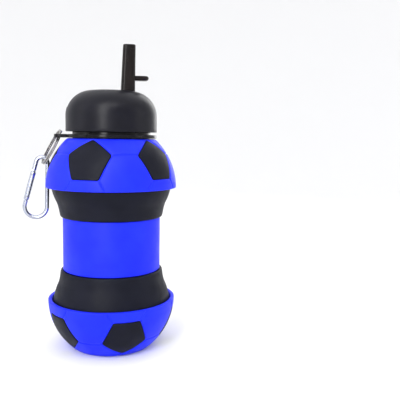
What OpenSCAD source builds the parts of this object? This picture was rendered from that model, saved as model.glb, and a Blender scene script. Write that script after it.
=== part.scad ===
// Folding silicone ball bottle: two half balls, two rolling waists, a middle sleeve, a screw cap with a
// flip spout, and a split ring and carabiner on the neck collar. Open and ready to drink, it stands on z = 0.

/* [Ball] */
// Outer radius of the upper half ball
ball_r = 47.8; // [44:0.1:52]
// How much smaller the lower half ball is
rim_step = 0.8; // [0.4:0.1:1.5]
// Silicone wall of the half balls
wall = 3; // [2.4:0.1:3.6]
// Height of the lower half ball, from base to rim
bowl_h = 37.5; // [35:0.5:40]
// Height of the upper half ball, from rim to neck
dome_h = 35.5; // [34:0.5:36.5]
// Turn of the pentagon pattern about the axis
panel_turn = -113; // [-180:1:180]
// Depth of the black pentagon inlays
panel_depth = 1.2; // [0.8:0.1:1.6]

/* [Folding middle] */
// Outer radius of the middle sleeve
sleeve_r = 35.9; // [34:0.1:37]
// Length of the middle sleeve
sleeve_len = 39.2; // [36:0.1:42]
// Height of each waist above or below its rim
waist_h = 21.8; // [20:0.1:24]
// Wall of the waists
waist_t = 1.7; // [1.4:0.1:2]

/* [Neck and cap] */
// Outer radius of the cap skirt
cap_r = 33.2; // [32:0.1:35]
// Height of the cap from skirt to crown
cap_h = 30.9; // [30:0.1:33]
// Radius of the cap's shoulder
shoulder_r = 16; // [14:0.5:17]
// Wall of the cap
cap_t = 1.8; // [1.6:0.1:2]
// Outer radius of the neck below its thread
neck_r = 28.5; // [28:0.1:29]
// Open gap between the collar and the cap
cap_gap = 1.9; // [1.5:0.1:2.5]

/* [Spout] */
// Length of the spout from its hinge to its tip
spout_len = 43; // [40:0.5:44]
// Radius of the spout's hinge drum
drum_r = 8.4; // [8:0.1:8.6]
// Width of the channel that the spout folds into
channel_w = 14.4; // [14:0.1:16]

/* [Strap hardware] */
// Mean radius of the split ring
ring_r = 13.7; // [13:0.1:15]
// Lean of the split ring against the ball
ring_lean = 28; // [26:0.1:30]
// Wire radius of the carabiner
wire_r = 1.6; // [1.4:0.1:1.8]
// Radius of the carabiner's wide end
hook_big_r = 8.2; // [7.5:0.1:9]
// Radius of the carabiner's narrow end
hook_small_r = 4.2; // [4:0.1:4.4]

/* [Hidden] */
$fn = 96;
eps = 0.01;

// Heights on the bottle's axis
low_rim_z = bowl_h;
sleeve_z0 = low_rim_z + waist_h;
sleeve_z1 = sleeve_z0 + sleeve_len;
top_rim_z = sleeve_z1 + waist_h;
neck_z = top_rim_z + dome_h;
collar_z0 = neck_z + 0.4;
collar_z1 = collar_z0 + 2.6;
cap_z0 = collar_z1 + cap_gap;
cap_z1 = cap_z0 + cap_h;
low_r = ball_r - rim_step;

// Truncated icosahedron on the ball: tilt of a ring pentagon, and sizes over the ball's radius
ico_tilt = 63.435;
pent_ratio = 0.343;
seam_half = 11.65;
panel_gap = 0.25;
seam_w = 0.7;
seam_depth = 0.45;

// Neck parts
thread_bore = 30.1;
neck_bore = 25.5;
lip_t = 4.1;
insert_z0 = neck_z - lip_t - 2.2;
insert_top = cap_z0 + 7.7;
gasket_t = 1.4;
liner_r = cap_r - cap_t - 0.1;
plate_z0 = insert_top + 0.05 + gasket_t + 0.05;
plate_z1 = plate_z0 + 1.6;

// Spout parts: the hinge axis runs along Y
hinge_x = 9;
hinge_z = cap_z0 + 20.2;
drum_half = channel_w / 2 - 0.3;
drum_gap = 0.5;
pin_r = 1.5;
pin_clear = 0.06;
flow_r = 2.4;
floor_z = hinge_z - 2.6;
housing_t = 1.6;
channel_right = hinge_x + drum_r + 0.6;
vent_x = -14;

// Collar eye and split ring
eye_x = -37.6;
eye_r = 2.5;
eye_half = 1.6;
eye_rim = 3.8;
ring_yaw = 12;
ring_wire = 1.4;
ring_pitch = 1.15;
ring_c = [-44.1, 9.2, collar_z1 - 9.7];
ring_up = [sin(ring_lean) * cos(ring_yaw), sin(ring_lean) * sin(ring_yaw), cos(ring_lean)];
ring_across = [-sin(ring_yaw), cos(ring_yaw), 0];

// Carabiner, drawn in the XZ plane through the place where it hangs in the split ring
foot_turn = 22;
ring_foot = ring_c + ring_r * (sin(foot_turn) * ring_across - cos(foot_turn) * ring_up);
hook_y = ring_foot[1];
hook_top = [ring_foot[0] - 0.8, ring_foot[2] - 0.8];
hook_low = [-56.7, 104];
gate_r = 2;
blade_t = 1.2;
blade_gap = 0.15;
rivet_r = 0.6;
gate_s0 = 3.4;
latch_s = 6;
pivot_s = 23;
gate_end_r = 2.9;
nose_s = pivot_s + gate_end_r + 0.4;

panel_names = [for (i = [1 : 5]) str(i)];

// ---- curves ----

// Point at t on a cubic curve through p[0] and p[3]
function cubic(p, t) = pow(1 - t, 3) * p[0] + 3 * t * pow(1 - t, 2) * p[1]
    + 3 * t * t * (1 - t) * p[2] + pow(t, 3) * p[3];
function curve(p, n) = [for (i = [0 : n]) cubic(p, i / n)];
function backwards(list) = [for (i = [len(list) - 1 : -1 : 0]) list[i]];
function unit(v) = v / norm(v);
function ease(t) = t <= 0 ? 0 : t >= 1 ? 1 : t * t * (3 - 2 * t);

// ---- ball pattern ----

// Places children with +Z out of the ball at a tilt from +Z and a turn about it
module on_ball(tilt, turn) {
    rotate([0, 0, turn]) rotate([0, tilt, 0]) children();
}

// Five-sided prism through the ball's skin, with a corner towards the nearer pole
module pentagon(r, upper) {
    rotate([0, 0, upper ? 180 : 0]) linear_extrude(2 * ball_r) circle(r, $fn = 5);
}

// Spherical layer between two radii
module layer(outer, inner) {
    difference() {
        sphere(outer);
        sphere(inner);
    }
}

// Groove along a great circle, centred on the place that on_ball() gives, running along local Y
module seam(r, half_angle, lean = 0) {
    rotate([0, 0, lean]) rotate([0, -90, 0]) rotate([0, 0, -half_angle])
        rotate_extrude(angle = 2 * half_angle)
            translate([r - seam_depth, -seam_w / 2]) square([seam_depth + 2, seam_w]);
}

// Unit vector at a tilt and a turn, and back again
function on_sphere(tilt, turn) = [sin(tilt) * cos(turn), sin(tilt) * sin(turn), cos(tilt)];
function tilt_of(v) = acos(v[2] / norm(v));
function turn_of(v) = atan2(v[1], v[0]);

// Groove on the middle of the arc from direction a to direction b
module seam_between(r, a, b) {
    mid = unit(a + b);
    along = unit(b - a);
    tilt = tilt_of(mid);
    turn = turn_of(mid);
    ex = [cos(tilt) * cos(turn), cos(tilt) * sin(turn), -sin(tilt)];
    ey = [-sin(turn), cos(turn), 0];
    on_ball(tilt, turn) rotate([0, 0, atan2(along * ey, along * ex)]) rotate([90, 0, 0])
        rotate([0, 0, 90 - seam_half]) rotate_extrude(angle = 2 * seam_half)
            translate([r - seam_depth, -seam_w / 2]) square([seam_depth + 2, seam_w]);
}

function ring_dir(k, upper) = upper ? on_sphere(ico_tilt, panel_turn + 72 * k)
    : on_sphere(180 - ico_tilt, panel_turn + 36 + 72 * k);

// Every seam of one half ball, about the ball's centre
module seams(r, upper) {
    for (k = [0 : 4]) {
        seam_between(r, ring_dir(k, upper), ring_dir(k + 1, upper));
        seam_between(r, ring_dir(k, true), ring_dir(k, false));
        seam_between(r, ring_dir(k + 1, true), ring_dir(k, false));
        if (!upper) seam_between(r, ring_dir(k, false), [0, 0, -1]);
    }
}

module pockets(r, upper) {
    intersection() {
        layer(r + 2, r - panel_depth);
        union() for (k = [0 : 4])
            on_ball(upper ? ico_tilt : 180 - ico_tilt, panel_turn + 72 * k + (upper ? 0 : 36))
                pentagon(pent_ratio * r, upper);
    }
}

module panel(r, z, k, upper) {
    color("#20222a") translate([0, 0, z]) intersection() {
        layer(r - 0.1, r - panel_depth);
        on_ball(upper ? ico_tilt : 180 - ico_tilt, panel_turn + 72 * k + (upper ? 0 : 36))
            pentagon(pent_ratio * r - panel_gap, upper);
    }
}

// ---- half balls ----

floor_t = 3.4;

module lower_shell() {
    color("#2c3cf5") difference() {
        translate([0, 0, low_rim_z]) difference() {
            sphere(low_r);
            sphere(low_r - wall);
            translate([0, 0, low_r]) cube(2 * low_r, center = true);
            seams(low_r, false);
            pockets(low_r, false);
        }
        translate([0, 0, -ball_r]) cube([3 * ball_r, 3 * ball_r, 2 * ball_r], center = true);
    }
    color("#2c3cf5") difference() {
        translate([0, 0, low_rim_z]) intersection() {
            sphere(low_r - wall + eps);
            translate([0, 0, -low_rim_z]) cylinder(h = floor_t, r = low_r);
        }
        translate([0, 0, -1]) linear_extrude(1 + panel_depth)
            rotate([0, 0, panel_turn + 36]) circle(pent_ratio * low_r, $fn = 5);
    }
}

module base_panel() {
    color("#20222a") linear_extrude(panel_depth)
        rotate([0, 0, panel_turn + 36]) circle(pent_ratio * low_r - panel_gap, $fn = 5);
}

module upper_shell() {
    color("#2c3cf5") translate([0, 0, top_rim_z]) difference() {
        sphere(ball_r);
        difference() {
            sphere(ball_r - wall);
            translate([0, 0, dome_h - lip_t]) cylinder(h = ball_r, r = ball_r);
        }
        translate([0, 0, -ball_r]) cube(2 * ball_r, center = true);
        translate([0, 0, dome_h]) cylinder(h = ball_r, r = ball_r);
        cylinder(h = ball_r, r = neck_r + 0.2);
        seams(ball_r, true);
        pockets(ball_r, true);
    }
}

// ---- folding middle ----

// Section of a waist, radius against height above the rim it grows from
waist_foot = -6;
lip_r = sleeve_r + 1.5;
function waist_side(shell_r) = concat(
    curve([[sqrt(pow(shell_r - wall, 2) - pow(waist_foot, 2)) - 0.05, waist_foot], [shell_r - wall - 0.3, -2],
        [shell_r - 4.4, 4], [lip_r + 2.2, 11]], 8),
    curve([[lip_r + 2.2, 11], [lip_r + 0.6, 15.5], [lip_r + 0.5, waist_h - 0.2], [sleeve_r + 0.1, waist_h]], 8));

module waist_section(shell_r) {
    side = waist_side(shell_r);
    inner = [for (p = side) [p[0] - waist_t, p[1]]];
    polygon(concat(side, [[sleeve_r + 0.1 - waist_t, waist_h]], backwards([for (p = inner) if (p[1] < waist_h - 1) p])));
}

module lower_waist() {
    color("#1d1e26") translate([0, 0, low_rim_z]) rotate_extrude() waist_section(low_r);
}

module upper_waist() {
    color("#1d1e26") translate([0, 0, top_rim_z]) mirror([0, 0, 1]) rotate_extrude() waist_section(ball_r);
}

sleeve_t = 2.4;
soft = 0.5;

module middle_sleeve() {
    inner = sleeve_r - sleeve_t;
    color("#2c3cf5") translate([0, 0, sleeve_z0]) rotate_extrude() polygon([
        [inner, 0], [sleeve_r - soft, 0], [sleeve_r, soft], [sleeve_r, sleeve_len - soft],
        [sleeve_r - soft, sleeve_len], [inner, sleeve_len]]);
}

// ---- neck ----

module neck_insert() {
    color("#17181c") difference() {
        union() {
            translate([0, 0, insert_z0]) cylinder(h = insert_top - insert_z0, r = neck_r);
            translate([0, 0, insert_z0]) cylinder(h = 2.1, r = neck_r + 3.2);
            translate([0, 0, insert_top - 1]) cylinder(h = 1, r1 = neck_r, r2 = neck_r - 0.6);
        }
        translate([0, 0, insert_z0 - 1]) cylinder(h = insert_top - insert_z0 + 2, r = neck_bore);
        translate([0, 0, insert_z0 - eps]) cylinder(h = 2, r1 = neck_bore + 2, r2 = neck_bore);
    }
}

module neck_collar() {
    color("#141519") difference() {
        union() {
            translate([0, 0, collar_z0]) cylinder(h = collar_z1 - collar_z0, r = cap_r - 0.2);
            for (side = [-1, 1]) translate([eye_x, side * eye_half, collar_z0])
                cylinder(h = collar_z1 - collar_z0, r = eye_rim);
            translate([eye_x - eye_rim, -eye_half, collar_z0]) cube([8, 2 * eye_half, collar_z1 - collar_z0]);
            translate([eye_x, -eye_half - eye_rim, collar_z0])
                cube([9, 2 * (eye_half + eye_rim), collar_z1 - collar_z0]);
        }
        translate([0, 0, collar_z0 - 1]) cylinder(h = 5, r = neck_r + 0.15);
        for (side = [-1, 1]) translate([eye_x, side * eye_half, collar_z0 - 1]) cylinder(h = 5, r = eye_r);
        translate([eye_x - eye_r, -eye_half, collar_z0 - 1]) cube([2 * eye_r, 2 * eye_half, 5]);
    }
}

// ---- cap ----

// Half section of a domed cup: straight side, round shoulder and a nearly flat crown
module dome_section(r, h, sr) {
    side_h = h - 0.6 - sr;
    inset = r - sr;
    crown_r = (inset * inset + pow(h - side_h, 2) - sr * sr) / (2 * (h - side_h - sr));
    touch = atan2(inset, crown_r - (h - side_h));
    intersection() {
        union() {
            polygon([[0, 0], [r, 0], [r, side_h], [inset, side_h], [inset, h - 1.2], [0, h - 1.2]]);
            translate([inset, side_h]) circle(sr);
            intersection() {
                translate([0, h - crown_r]) circle(crown_r, $fn = 720);
                polygon([[0, side_h], [inset, side_h], [inset + sr * sin(touch), side_h + sr * cos(touch)],
                    [inset + sr * sin(touch), h + 1], [0, h + 1]]);
            }
        }
        square([r + 1, h + 1]);
    }
}

module channel_space(extra = 0) {
    half = channel_w / 2 + extra;
    translate([-cap_r - 2, -half, floor_z - extra])
        cube([cap_r + 2 + hinge_x, 2 * half, cap_z1 - floor_z + 2 * extra + 2]);
    translate([hinge_x - 1, -half, hinge_z - extra])
        cube([channel_right - hinge_x + 1 + extra, 2 * half, cap_z1 - hinge_z + 2 + 2 * extra]);
    translate([hinge_x, half, hinge_z]) rotate([90, 0, 0]) cylinder(h = 2 * half, r = drum_r + drum_gap + extra);
    translate([0, half, 0]) rotate([90, 0, 0]) linear_extrude(2 * half)
        polygon([[channel_right - 1, cap_z1 - 5.5], [channel_right + extra, cap_z1 - 5.5 - extra],
            [channel_right + 5.5 + extra, cap_z1 + 1], [channel_right - 1, cap_z1 + 1]]);
}

module cap_shell() {
    color("#1b1c22") difference() {
        union() {
            difference() {
                translate([0, 0, cap_z0]) rotate_extrude() dome_section(cap_r, cap_h, shoulder_r);
                translate([0, 0, cap_z0 - eps]) rotate_extrude()
                    dome_section(cap_r - cap_t, cap_h - cap_t, shoulder_r - cap_t);
            }
            intersection() {
                translate([0, 0, cap_z0]) rotate_extrude() dome_section(cap_r, cap_h, shoulder_r);
                channel_space(housing_t);
                translate([0, 0, plate_z1 + 0.3]) cylinder(h = cap_h, r = cap_r);
            }
        }
        channel_space();
        translate([hinge_x, channel_w, hinge_z]) rotate([90, 0, 0]) cylinder(h = 2 * channel_w, r = pin_r);
        translate([hinge_x, 0, plate_z1 - 1]) cylinder(h = 4, r = seal_r + 0.1);
    }
}

seal_r = 6.2;

module cap_liner() {
    color("#222329") difference() {
        translate([0, 0, cap_z0 + 0.4]) cylinder(h = plate_z1 - cap_z0 - 0.4, r = liner_r);
        translate([0, 0, cap_z0 - 1]) cylinder(h = plate_z0 - cap_z0 + 1, r = thread_bore);
        translate([hinge_x, 0, plate_z0 - 1]) cylinder(h = 4, r = flow_r + 0.4);
        translate([vent_x, 0, plate_z0 - 1]) cylinder(h = 4, r = 1.3);
    }
}

module cap_gasket() {
    color("#d8dadd") translate([0, 0, insert_top + 0.05]) difference() {
        cylinder(h = gasket_t, r = neck_r + 0.9);
        translate([0, 0, -1]) cylinder(h = gasket_t + 2, r = neck_bore + 0.1);
    }
}

module spout_seal() {
    color("#c9ccd0") difference() {
        translate([hinge_x, 0, plate_z1]) cylinder(h = hinge_z - plate_z1 - 5.9, r = seal_r);
        translate([hinge_x, 10, hinge_z]) rotate([90, 0, 0]) cylinder(h = 20, r = drum_r + 0.05);
        translate([hinge_x, 0, plate_z1 - 1]) cylinder(h = 10, r = flow_r + 0.2);
    }
}

module vent_valve() {
    color("#c9ccd0") translate([vent_x, 0, 0]) {
        translate([0, 0, plate_z1 + eps]) cylinder(h = 0.8, r = 2.2);
        translate([0, 0, plate_z0 - 0.5]) cylinder(h = plate_z1 - plate_z0 + 1, r = 1.2);
        translate([0, 0, plate_z0 - 1]) cylinder(h = 0.9, r1 = 1.6, r2 = 3.4);
    }
}

// ---- spout ----

tab_z = 19.2;
tab_t = 3.4;
tab_reach = 18;
tab_w = 9;

// Level outline of the tube: a rounded oblong from x0 to x1, w wide across
module tube_slice(x0, x1, w, z) {
    corner = 2.6;
    translate([0, 0, z]) linear_extrude(0.5) hull() for (x = [x0 + corner, x1 - corner], y = [-1, 1])
        translate([x, y * (w / 2 - corner)]) circle(corner, $fn = 32);
}

module spout() {
    color("#2f2c2c") translate([hinge_x, 0, hinge_z]) difference() {
        union() {
            translate([0, drum_half, 0]) rotate([90, 0, 0]) cylinder(h = 2 * drum_half, r = drum_r);
            hull() {
                tube_slice(-2, drum_r - 0.02, 12.6, 0);
                tube_slice(0.4, drum_r + 0.1, 11, spout_len - 0.5);
            }
            hull() {
                translate([4, -tab_w / 2, tab_z - tab_t / 2]) cube([1, tab_w, tab_t]);
                for (y = [-1, 1]) translate([tab_reach - 3, y * (tab_w / 2 - 3), tab_z - 1.4])
                    cylinder(h = 2.8, r = 3, $fn = 32);
            }
        }
        translate([0, 0, -drum_r - 1]) cylinder(h = drum_r + 2.5, r = flow_r);
        translate([3.2, 0, 4]) rotate([0, atan2(1.1, spout_len - 4), 0]) cylinder(h = spout_len, r = flow_r);
        translate([0, 0, 0]) rotate([0, 38, 0]) cylinder(h = 6.5, r = flow_r);
        for (side = [-1, 1]) translate([0, side * (drum_half - 2.2), 0]) rotate([-90 * side, 0, 0])
            cylinder(h = 4, r = pin_r + pin_clear);
    }
}

module spout_pins() {
    color("silver") for (side = [-1, 1]) translate([hinge_x, side * (drum_half - 2), hinge_z])
        rotate([-90 * side, 0, 0]) cylinder(h = 3.7, r = pin_r);
}

// ---- split ring ----

// Wire of two flat turns side by side, crossing from one to the other where both ends stop
ring_steps = 78;
ring_start = 14;
ring_end = 706;
function ring_at(i) = ring_start + (ring_end - ring_start) * i / ring_steps;
function ring_side(a) = ring_pitch * (ease((a - 346) / 28) - 0.5);
function ring_corners(a) = [for (c = [[-1, -1], [1, -1], [1, 1], [-1, 1]])
    [(ring_r + c[0] * ring_wire / 2) * cos(a), (ring_r + c[0] * ring_wire / 2) * sin(a),
        ring_side(a) + c[1] * (ring_pitch - 0.08) / 2]];

module split_ring() {
    points = [for (i = [0 : ring_steps]) each ring_corners(ring_at(i))];
    last = 4 * ring_steps;
    sides = [for (i = [0 : ring_steps - 1], k = [0 : 3])
        [4 * i + k, 4 * i + (k + 1) % 4, 4 * i + 4 + (k + 1) % 4, 4 * i + 4 + k]];
    color("#b9babd") translate(ring_c) rotate([0, 0, ring_yaw]) rotate([0, ring_lean, 0])
        rotate([0, 90, 0]) rotate([0, 0, 215])
            polyhedron(points, concat([[3, 2, 1, 0]], sides, [[last, last + 1, last + 2, last + 3]]), convexity = 6);
}

// ---- carabiner ----

// Outer tangent line of the two end circles: side -1 is the gate's side, 1 the spine's
axis_v = hook_top - hook_low;
axis_len = norm(axis_v);
axis_a = atan2(axis_v[0], axis_v[1]);
spread = asin((hook_big_r - hook_small_r) / axis_len);
line_len = axis_len * cos(spread);

module hook_plane() {
    translate([hook_low[0], hook_y, hook_low[1]]) rotate([0, axis_a, 0]) children();
}

// Places children with z along a straight side, from the wide end's tangent point
module hook_side(side) {
    rotate([0, -side * spread, 0]) translate([side * hook_big_r, 0, 0]) children();
}

// Arc of wire in the XZ plane about the current origin, measured from +X towards +Z
module wire_arc(r, from, to) {
    rotate([90, 0, 0]) rotate([0, 0, from]) rotate_extrude(angle = to - from, $fn = 64)
        translate([r, 0]) circle(wire_r + 0.03, $fn = 32);
}

module blade(s0, s1, r) {
    intersection() {
        translate([0, 0, s0]) cylinder(h = s1 - s0, r = r);
        translate([-4, -blade_t / 2, s0 - 1]) cube([8, blade_t, s1 - s0 + 2]);
    }
}

module carabiner_frame() {
    color("#cfd3da") hook_plane() difference() {
        union() {
            wire_arc(hook_big_r, -180 - spread, spread);
            translate([0, 0, axis_len]) wire_arc(hook_small_r, spread, 180 - spread);
            hook_side(1) translate([0, 0, -0.1]) cylinder(h = line_len + 0.2, r = wire_r);
            hook_side(-1) translate([0, 0, -0.1]) cylinder(h = gate_s0 - 0.3, r = wire_r);
            hook_side(-1) translate([0, 0, nose_s]) cylinder(h = line_len - nose_s + 0.1, r = wire_r);
            hook_side(-1) blade(gate_s0 - 1, latch_s + 1.3, wire_r - 0.2);
            hook_side(-1) blade(pivot_s - 1.3, nose_s + 1, wire_r - 0.1);
        }
        hook_side(-1) translate([0, 2, pivot_s]) rotate([90, 0, 0]) cylinder(h = 4, r = rivet_r + 0.05);
        hook_side(-1) translate([0, 2, latch_s]) rotate([90, 0, 0]) cylinder(h = 4, r = rivet_r + 0.15);
        hook_side(-1) translate([0, -2, latch_s - rivet_r - 0.15]) cube([4, 4, 2 * rivet_r + 0.3]);
    }
}

module gate_slot(s0, s1) {
    translate([-4, -blade_t / 2 - blade_gap, s0]) cube([8, blade_t + 2 * blade_gap, s1 - s0]);
}

module carabiner_gate() {
    color("#dde0e6") hook_plane() hook_side(-1) difference() {
        union() {
            translate([0, 0, gate_s0]) cylinder(h = pivot_s - gate_s0, r = gate_r);
            intersection() {
                translate([0, 0, pivot_s - 0.1]) cylinder(h = gate_end_r + 1, r = gate_r);
                translate([0, 3, pivot_s]) rotate([90, 0, 0]) cylinder(h = 6, r = gate_end_r);
            }
        }
        gate_slot(gate_s0 - 1, latch_s + 2.1);
        gate_slot(pivot_s - 2.3, pivot_s + 4);
        translate([0, 0, latch_s + 4]) cylinder(h = pivot_s - latch_s - 5, r = 1.1);
        translate([0, 3, pivot_s]) rotate([90, 0, 0]) cylinder(h = 6, r = rivet_r);
        translate([0, 3, latch_s]) rotate([90, 0, 0]) cylinder(h = 6, r = rivet_r);
    }
}

module rivet(s) {
    color("#8a8d93") hook_plane() hook_side(-1) translate([0, gate_r + 0.1, s]) rotate([90, 0, 0])
        cylinder(h = 2 * gate_r + 0.2, r = rivet_r);
}

module gate_spring() {
    color("#9a9da3") hook_plane() hook_side(-1) translate([0, 0, latch_s + 4.2]) difference() {
        cylinder(h = 11, r = 1);
        translate([0, 0, -1]) cylinder(h = 13, r = 0.55);
    }
}

lower_shell();
upper_shell();
lower_waist();
upper_waist();
middle_sleeve();
for (k = [0 : 4]) {
    panel(low_r, low_rim_z, k, false);
    panel(ball_r, top_rim_z, k, true);
}
base_panel();
neck_insert();
neck_collar();
cap_shell();
cap_liner();
cap_gasket();
spout();
spout_pins();
spout_seal();
vent_valve();
split_ring();
carabiner_frame();
carabiner_gate();
rivet(pivot_s);  // gate_rivet
rivet(latch_s);  // latch_rivet
gate_spring();
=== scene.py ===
# Folding ball bottle: half balls, rolling waists, sleeve, screw cap, flip spout, split ring and carabiner.
from math import asin, atan2, cos, pi, radians, sin, sqrt, tan

import bmesh
import bpy
from mathutils import Matrix, Vector


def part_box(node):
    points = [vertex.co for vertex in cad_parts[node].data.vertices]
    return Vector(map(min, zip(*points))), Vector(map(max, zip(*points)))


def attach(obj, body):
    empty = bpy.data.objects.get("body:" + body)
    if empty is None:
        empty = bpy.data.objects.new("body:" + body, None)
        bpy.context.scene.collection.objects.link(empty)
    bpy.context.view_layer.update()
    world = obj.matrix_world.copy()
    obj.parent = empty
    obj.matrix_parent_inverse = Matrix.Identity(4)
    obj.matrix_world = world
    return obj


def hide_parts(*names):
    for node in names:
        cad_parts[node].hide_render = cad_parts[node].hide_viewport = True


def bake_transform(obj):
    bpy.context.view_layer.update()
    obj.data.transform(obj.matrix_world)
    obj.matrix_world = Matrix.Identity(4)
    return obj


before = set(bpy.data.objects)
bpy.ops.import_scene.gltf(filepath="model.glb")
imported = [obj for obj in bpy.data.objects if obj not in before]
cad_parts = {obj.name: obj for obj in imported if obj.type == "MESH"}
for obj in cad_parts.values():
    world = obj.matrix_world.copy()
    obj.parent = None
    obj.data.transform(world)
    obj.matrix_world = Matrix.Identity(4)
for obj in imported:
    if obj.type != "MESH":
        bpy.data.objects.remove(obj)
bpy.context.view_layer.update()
MM = 0.001
ORIGIN = Vector((0, 0, 0))

# Heights and radii of the bottle, read from the frame where it holds them
low_rim_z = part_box("lower_shell")[1].z
top_rim_z, neck_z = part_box("upper_shell")[0].z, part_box("upper_shell")[1].z
ball_r = 47.8 * MM
low_r = 47.0 * MM
ball_wall = 3 * MM
collar_z1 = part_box("neck_collar")[1].z
cap_z0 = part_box("cap_shell")[0].z
cap_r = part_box("cap_shell")[1].y
thread_pitch = 4.2 * MM
panel_turn = radians(-113)      # where the first upper pentagon faces


# ---- Finishes ----

def new_finish(name):
    """A fresh material with its nodes, links, shader and the piece's own coordinates."""
    mat = bpy.data.materials.new(name)
    mat.use_nodes = True
    nodes, links = mat.node_tree.nodes, mat.node_tree.links
    shader = nodes["Principled BSDF"]
    place = nodes.new("ShaderNodeTexCoord")
    return mat, nodes, links, shader, place.outputs["Object"]


def noise(nodes, links, where, scale, detail=3.0, rough=0.5):
    """Cloudy noise of that many patches to the metre."""
    tex = nodes.new("ShaderNodeTexNoise")
    tex.inputs["Scale"].default_value = scale
    tex.inputs["Detail"].default_value = detail
    tex.inputs["Roughness"].default_value = rough
    links.new(where, tex.inputs["Vector"])
    return tex.outputs["Fac"]


def spread(nodes, links, value, low, high, start=0.3, end=0.7):
    """Stretches the middle of a noise value over low to high."""
    ramp = nodes.new("ShaderNodeMapRange")
    ramp.inputs["From Min"].default_value = start
    ramp.inputs["From Max"].default_value = end
    ramp.inputs["To Min"].default_value = low
    ramp.inputs["To Max"].default_value = high
    links.new(value, ramp.inputs["Value"])
    return ramp.outputs["Result"]


def colour_between(nodes, links, shader, value, dark, light):
    """Colours the finish between two shades as the value goes from 0 to 1."""
    mix = nodes.new("ShaderNodeMix")
    mix.data_type = "RGBA"
    mix.inputs["A"].default_value = (*dark, 1)
    mix.inputs["B"].default_value = (*light, 1)
    links.new(value, mix.inputs["Factor"])
    links.new(mix.outputs["Result"], shader.inputs["Base Color"])


def relief(nodes, links, shader, value, strength, depth, under=None):
    """Raises the surface by a noise value, on top of another relief if there is one."""
    bump = nodes.new("ShaderNodeBump")
    bump.inputs["Strength"].default_value = strength
    bump.inputs["Distance"].default_value = depth
    links.new(value, bump.inputs["Height"])
    if under is not None:
        links.new(under, bump.inputs["Normal"])
    links.new(bump.outputs["Normal"], shader.inputs["Normal"])
    return bump.outputs["Normal"]


def silicone(name, dark, light, rough_low, rough_high, gloss):
    """Soft rubber with a dusty bloom, a faint waviness and a fine grain."""
    mat, nodes, links, shader, where = new_finish(name)
    cloud = noise(nodes, links, where, 55, 4, 0.55)
    colour_between(nodes, links, shader, spread(nodes, links, cloud, 0, 1, 0.35, 0.65), dark, light)
    smudge = noise(nodes, links, where, 140, 5, 0.6)
    links.new(spread(nodes, links, smudge, rough_low, rough_high), shader.inputs["Roughness"])
    fine = noise(nodes, links, where, 3200, 2, 0.5)
    soft = noise(nodes, links, where, 220, 2, 0.5)
    first = relief(nodes, links, shader, soft, 0.05, 0.0004)
    relief(nodes, links, shader, fine, 0.14, 0.00006, first)
    shader.inputs["Specular IOR Level"].default_value = gloss
    shader.inputs["Subsurface Weight"].default_value = 0.06
    shader.inputs["Subsurface Radius"].default_value = (0.4, 0.5, 1.0)
    shader.inputs["Subsurface Scale"].default_value = 0.002
    return mat


def moulded(name, dark, light, rough_low, rough_high, grain, gloss):
    """Hard moulded plastic with the fine grain of its mould."""
    mat, nodes, links, shader, where = new_finish(name)
    cloud = noise(nodes, links, where, 90, 3, 0.5)
    colour_between(nodes, links, shader, spread(nodes, links, cloud, 0, 1), dark, light)
    smudge = noise(nodes, links, where, 60, 5, 0.62)
    links.new(spread(nodes, links, smudge, rough_low, rough_high), shader.inputs["Roughness"])
    fine = noise(nodes, links, where, 2400, 2, 0.5)
    relief(nodes, links, shader, fine, grain, 0.00006)
    shader.inputs["Specular IOR Level"].default_value = gloss
    shader.inputs["IOR"].default_value = 1.5
    return mat


def metal(name, dark, light, rough_low, rough_high, lines, stretch, scale):
    """Bare metal with polishing or drawing lines, stretched along its run."""
    mat, nodes, links, shader, where = new_finish(name)
    mapping = nodes.new("ShaderNodeMapping")
    mapping.inputs["Scale"].default_value = stretch
    links.new(where, mapping.inputs["Vector"])
    drawn = noise(nodes, links, mapping.outputs["Vector"], scale, 3, 0.6)
    colour_between(nodes, links, shader, spread(nodes, links, drawn, 0, 1), dark, light)
    links.new(spread(nodes, links, drawn, rough_low, rough_high), shader.inputs["Roughness"])
    relief(nodes, links, shader, drawn, lines, 0.00005)
    shader.inputs["Metallic"].default_value = 1.0
    return mat


def smoked(name, dark, light):
    """Hard see-through plastic, stained so dark that little light passes."""
    mat, nodes, links, shader, where = new_finish(name)
    cloud = noise(nodes, links, where, 120, 3, 0.5)
    colour_between(nodes, links, shader, spread(nodes, links, cloud, 0, 1), dark, light)
    smudge = noise(nodes, links, where, 300, 4, 0.6)
    links.new(spread(nodes, links, smudge, 0.20, 0.28), shader.inputs["Roughness"])
    relief(nodes, links, shader, noise(nodes, links, where, 700, 2, 0.5), 0.05, 0.0001)
    shader.inputs["Transmission Weight"].default_value = 0.1
    shader.inputs["IOR"].default_value = 1.46
    shader.inputs["Specular IOR Level"].default_value = 0.16
    return mat


blue = silicone("blue_silicone", (0.004, 0.014, 0.78), (0.007, 0.021, 0.88), 0.40, 0.52, 0.18)
black = silicone("black_silicone", (0.0030, 0.0036, 0.0085), (0.0050, 0.0056, 0.0120), 0.44, 0.58, 0.12)
clear_rubber = silicone("milky_silicone", (0.55, 0.57, 0.58), (0.66, 0.68, 0.69), 0.35, 0.45, 0.3)
cap_plastic = moulded("satin_black_plastic", (0.0030, 0.0030, 0.0062), (0.0045, 0.0045, 0.0088), 0.31, 0.40,
                      0.14, 0.17)
collar_plastic = moulded("collar_black_plastic", (0.003, 0.003, 0.005), (0.005, 0.005, 0.007), 0.14, 0.20,
                         0.05, 0.14)
liner_plastic = moulded("liner_grey_plastic", (0.020, 0.020, 0.023), (0.030, 0.030, 0.034), 0.34, 0.46,
                        0.10, 0.3)
smoke = smoked("smoked_spout_plastic", (0.004, 0.003, 0.003), (0.009, 0.006, 0.0055))
ring_steel = metal("polished_ring_steel", (0.27, 0.26, 0.25), (0.38, 0.37, 0.355), 0.12, 0.22,
                   0.03, (1, 1, 1), 500)
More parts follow.
